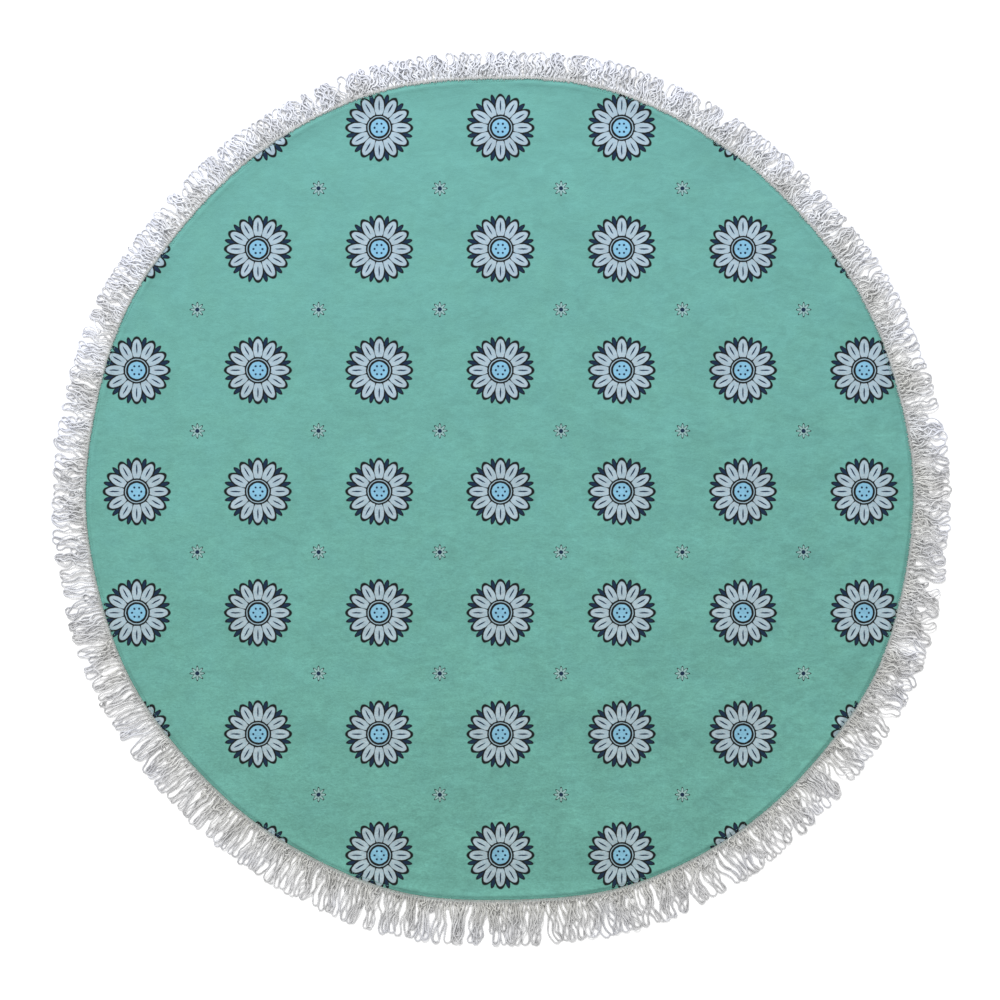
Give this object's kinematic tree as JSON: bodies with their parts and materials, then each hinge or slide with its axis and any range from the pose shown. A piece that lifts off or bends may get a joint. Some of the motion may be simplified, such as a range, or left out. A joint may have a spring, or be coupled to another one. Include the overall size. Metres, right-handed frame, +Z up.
{
  "type": "round beach towel",
  "caption": "Round beach towel laid out flat: a printed cloth disc with a turned hem and a looped yarn fringe on a header sewn under the hem.",
  "frame": {"origin": "centre of the cloth's underside, on the surface that the towel lies on", "axes": "+Z up out of the printed face; -Y towards the side of the picture's lower edge, where the loops are longest"},
  "size_m": [1.5215, 1.5181, 0.0066],
  "materials": {
    "printed_cloth": "short brushed pile, printed face",
    "fringe_yarn": "undyed white twisted cotton yarn"
  },
  "bodies": {
    "root": {"cloth": "printed_cloth", "fringe": "fringe_yarn"}
  },
  "joints": []
}
